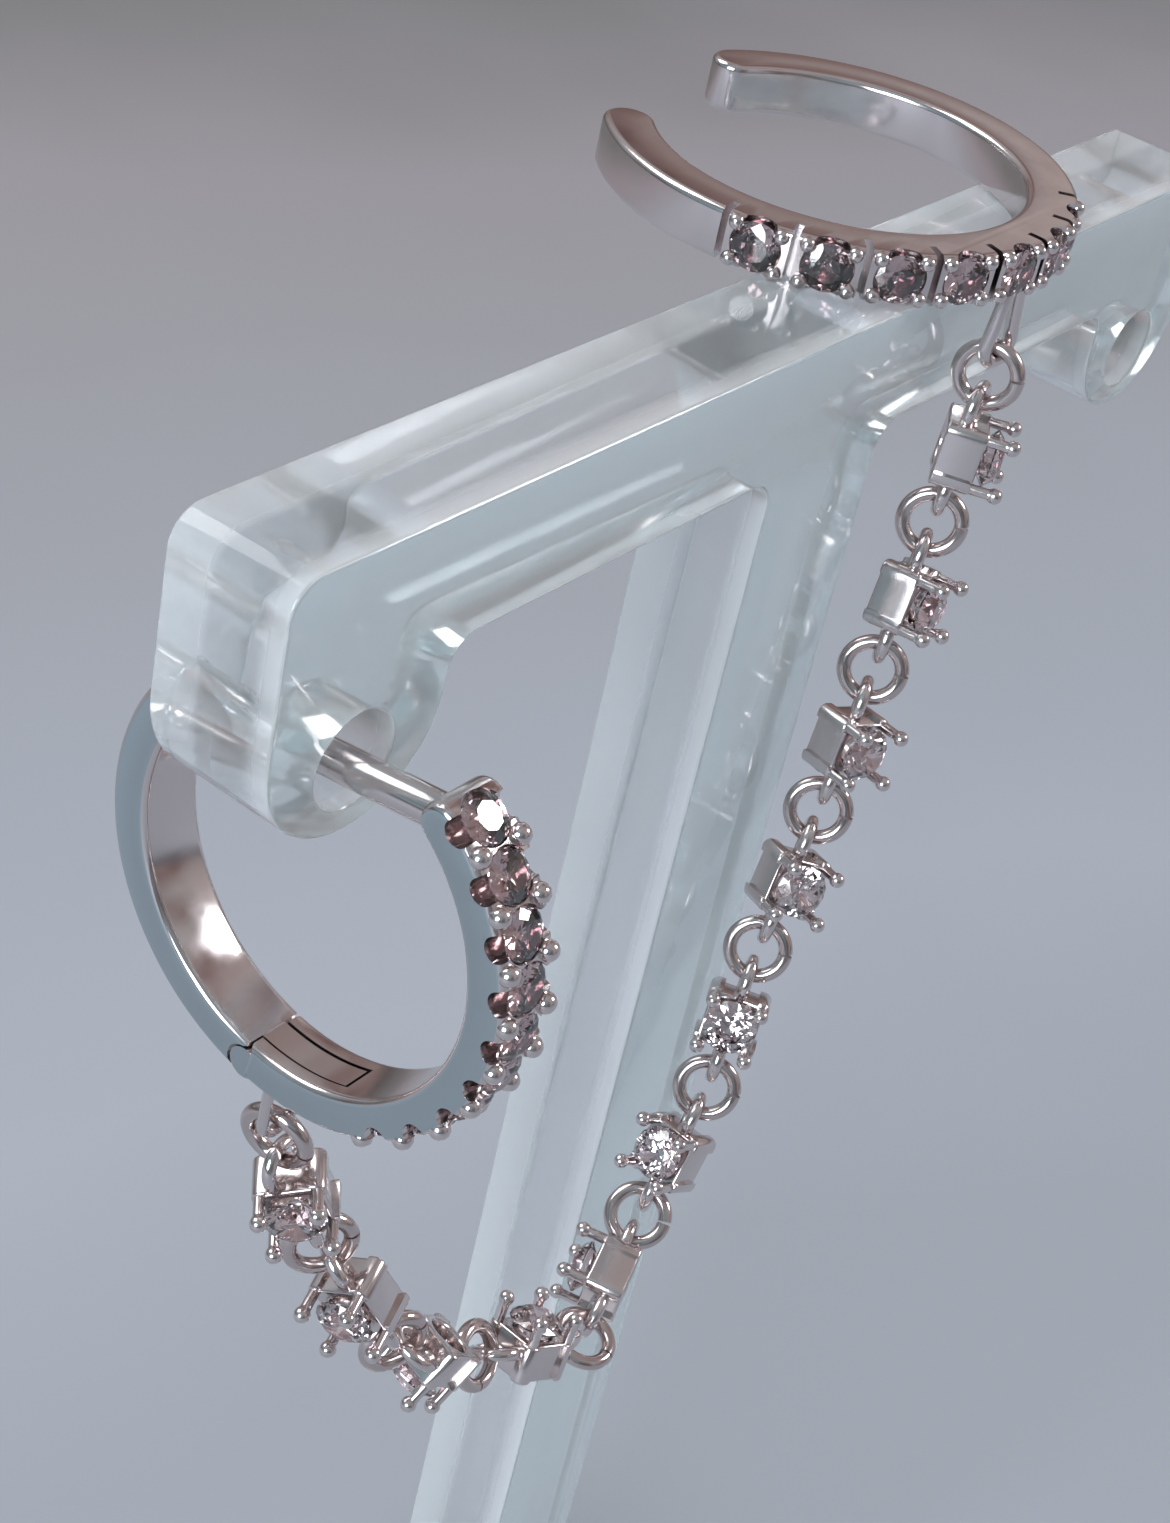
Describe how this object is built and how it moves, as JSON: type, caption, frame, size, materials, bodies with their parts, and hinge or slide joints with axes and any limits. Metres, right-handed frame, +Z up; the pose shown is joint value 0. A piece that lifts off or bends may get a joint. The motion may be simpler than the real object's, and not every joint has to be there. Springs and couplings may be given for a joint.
{
  "type": "ear chain earring on acrylic stand",
  "caption": "Silver ear chain: a stone-set ear cuff and a small hinged hoop joined by a chain of claw-set stones, on a clear acrylic T stand.",
  "frame": {"origin": "middle of the base plate's underside", "axes": "+X along the stand's bar, away from the end that holds the hoop; +Y behind the sheet, away from the set stones; +Z up"},
  "size_m": [0.0348, 0.02, 0.0673],
  "materials": {
    "acrylic": "clear acrylic sheet with polished edges",
    "silver": "polished rhodium-plated silver",
    "stone": "clear brilliant-cut stones"
  },
  "bodies": {
    "stand_and_chain": {"stand_plate": "acrylic", "stand_base": "acrylic", "cuff_band": "silver", "cuff_stones": "stone", "hoop_front": "silver", "hinge_pin": "silver", "hoop_stones": "stone", "setting_01": "silver", "setting_02": "silver", "setting_03": "silver", "setting_04": "silver", "setting_05": "silver", "setting_06": "silver", "setting_07": "silver", "setting_08": "silver", "setting_09": "silver", "setting_10": "silver", "setting_11": "silver", "stone_01": "stone", "stone_02": "stone", "stone_03": "stone", "stone_04": "stone", "stone_05": "stone", "stone_06": "stone", "stone_07": "stone", "stone_08": "stone", "stone_09": "stone", "stone_10": "stone", "stone_11": "stone", "jump_ring_01": "silver", "jump_ring_02": "silver", "jump_ring_03": "silver", "jump_ring_04": "silver", "jump_ring_05": "silver", "jump_ring_06": "silver", "jump_ring_07": "silver", "jump_ring_08": "silver", "jump_ring_09": "silver", "jump_ring_10": "silver", "jump_ring_11": "silver", "jump_ring_12": "silver"},
    "hoop_back_half": {"hoop_back": "silver"}
  },
  "joints": [
    {"name": "hoop_hinge", "type": "hinge", "parent": "stand_and_chain", "child": "hoop_back_half", "pos_m": [-0.01539, -0.00081, 0.05399], "axis": [-1, 0, 0], "range_deg": [0, 50]}
  ]
}
